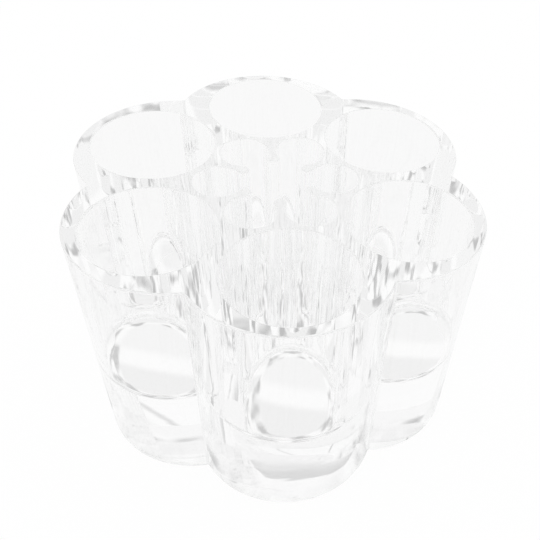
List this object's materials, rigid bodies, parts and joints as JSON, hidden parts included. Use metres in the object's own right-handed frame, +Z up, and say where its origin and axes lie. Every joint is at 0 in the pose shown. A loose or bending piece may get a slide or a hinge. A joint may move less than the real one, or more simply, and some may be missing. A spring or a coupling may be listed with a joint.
{
  "type": "nail brush holder",
  "caption": "Clear flower-shaped desk holder with round wells round a lobed centre opening for nail brushes",
  "frame": {"origin": "centre of the flat underside", "axes": "+Z up; one well at +Y and one at -Y; the picture looks from the -Y side"},
  "size_m": [0.0938, 0.101, 0.0626],
  "materials": {
    "clear_acrylic": "polished, clear and colourless"
  },
  "bodies": {
    "root": {"holder_block": "clear_acrylic", "base_plate": "clear_acrylic"}
  },
  "joints": []
}
